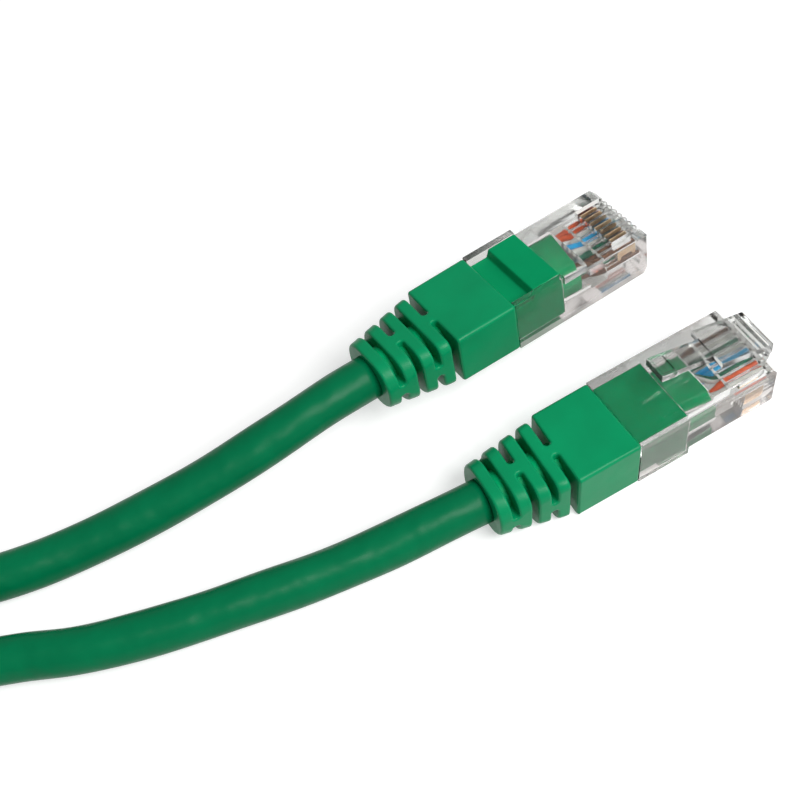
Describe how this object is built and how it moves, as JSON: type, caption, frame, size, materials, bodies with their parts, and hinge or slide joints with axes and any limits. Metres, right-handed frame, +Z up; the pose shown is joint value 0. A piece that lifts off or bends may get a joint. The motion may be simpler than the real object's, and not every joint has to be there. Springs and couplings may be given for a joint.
{
  "type": "ethernet patch cable",
  "caption": "Flexible round network cable with a clear latched 8P8C plug, gold blade contacts and a ribbed moulded boot at each end, its spare length wound into a strapped coil.",
  "frame": {"origin": "on the surface the cable lies on, under the centre of the box round the two plugs with their boots", "axes": "+X towards the plugs' noses, +Z up from the surface the cable lies on, +Y from plug B (latch up) towards plug A (contacts up)"},
  "size_m": [0.1955, 0.0761, 0.014],
  "materials": {
    "clear_plastic": "clear, glossy polycarbonate",
    "green_moulding": "satin moulded PVC",
    "green_jacket": "satin extruded PVC",
    "gold_contact": "bright gold plating",
    "wire_white_orange": "satin",
    "wire_orange": "satin",
    "wire_white_green": "satin",
    "wire_blue": "satin",
    "wire_white_blue": "satin",
    "wire_green": "satin",
    "wire_white_brown": "satin",
    "wire_brown": "satin",
    "black_strap": "hook-and-loop tape"
  },
  "bodies": {
    "cable": {"housing_a": "clear_plastic", "inner_mould_a": "green_moulding", "boot_a": "green_moulding", "cable_end_a": "green_jacket", "housing_b": "clear_plastic", "inner_mould_b": "green_moulding", "boot_b": "green_moulding", "cable_end_b": "green_jacket", "contact_a_1": "gold_contact", "contact_a_2": "gold_contact", "contact_a_3": "gold_contact", "contact_a_4": "gold_contact", "contact_a_5": "gold_contact", "contact_a_6": "gold_contact", "contact_a_7": "gold_contact", "contact_a_8": "gold_contact", "contact_b_1": "gold_contact", "contact_b_2": "gold_contact", "contact_b_3": "gold_contact", "contact_b_4": "gold_contact", "contact_b_5": "gold_contact", "contact_b_6": "gold_contact", "contact_b_7": "gold_contact", "contact_b_8": "gold_contact", "conductor_a_1": "wire_white_orange", "conductor_a_2": "wire_orange", "conductor_a_3": "wire_white_green", "conductor_a_4": "wire_blue", "conductor_a_5": "wire_white_blue", "conductor_a_6": "wire_green", "conductor_a_7": "wire_white_brown", "conductor_a_8": "wire_brown", "conductor_b_1": "wire_white_orange", "conductor_b_2": "wire_orange", "conductor_b_3": "wire_white_green", "conductor_b_4": "wire_blue", "conductor_b_5": "wire_white_blue", "conductor_b_6": "wire_green", "conductor_b_7": "wire_white_brown", "conductor_b_8": "wire_brown", "cable_run_a": "green_jacket", "cable_run_b": "green_jacket", "cable_coil": "green_jacket", "coil_strap": "black_strap"},
    "latch_a": {"latch_a": "clear_plastic"},
    "latch_b": {"latch_b": "clear_plastic"}
  },
  "joints": [
    {"name": "latch_a_bend", "type": "hinge", "parent": "cable", "child": "latch_a", "pos_m": [0.01873, 0.0112, 0.00597], "axis": [-0.0447, 0.9928, -0.1114], "range_deg": [0, 13], "stiffness_Nm_per_rad": 0.3},
    {"name": "latch_b_bend", "type": "hinge", "parent": "cable", "child": "latch_b", "pos_m": [0.02186, -0.0118, 0.0076], "axis": [0, -1, 0], "range_deg": [0, 13], "stiffness_Nm_per_rad": 0.3}
  ]
}
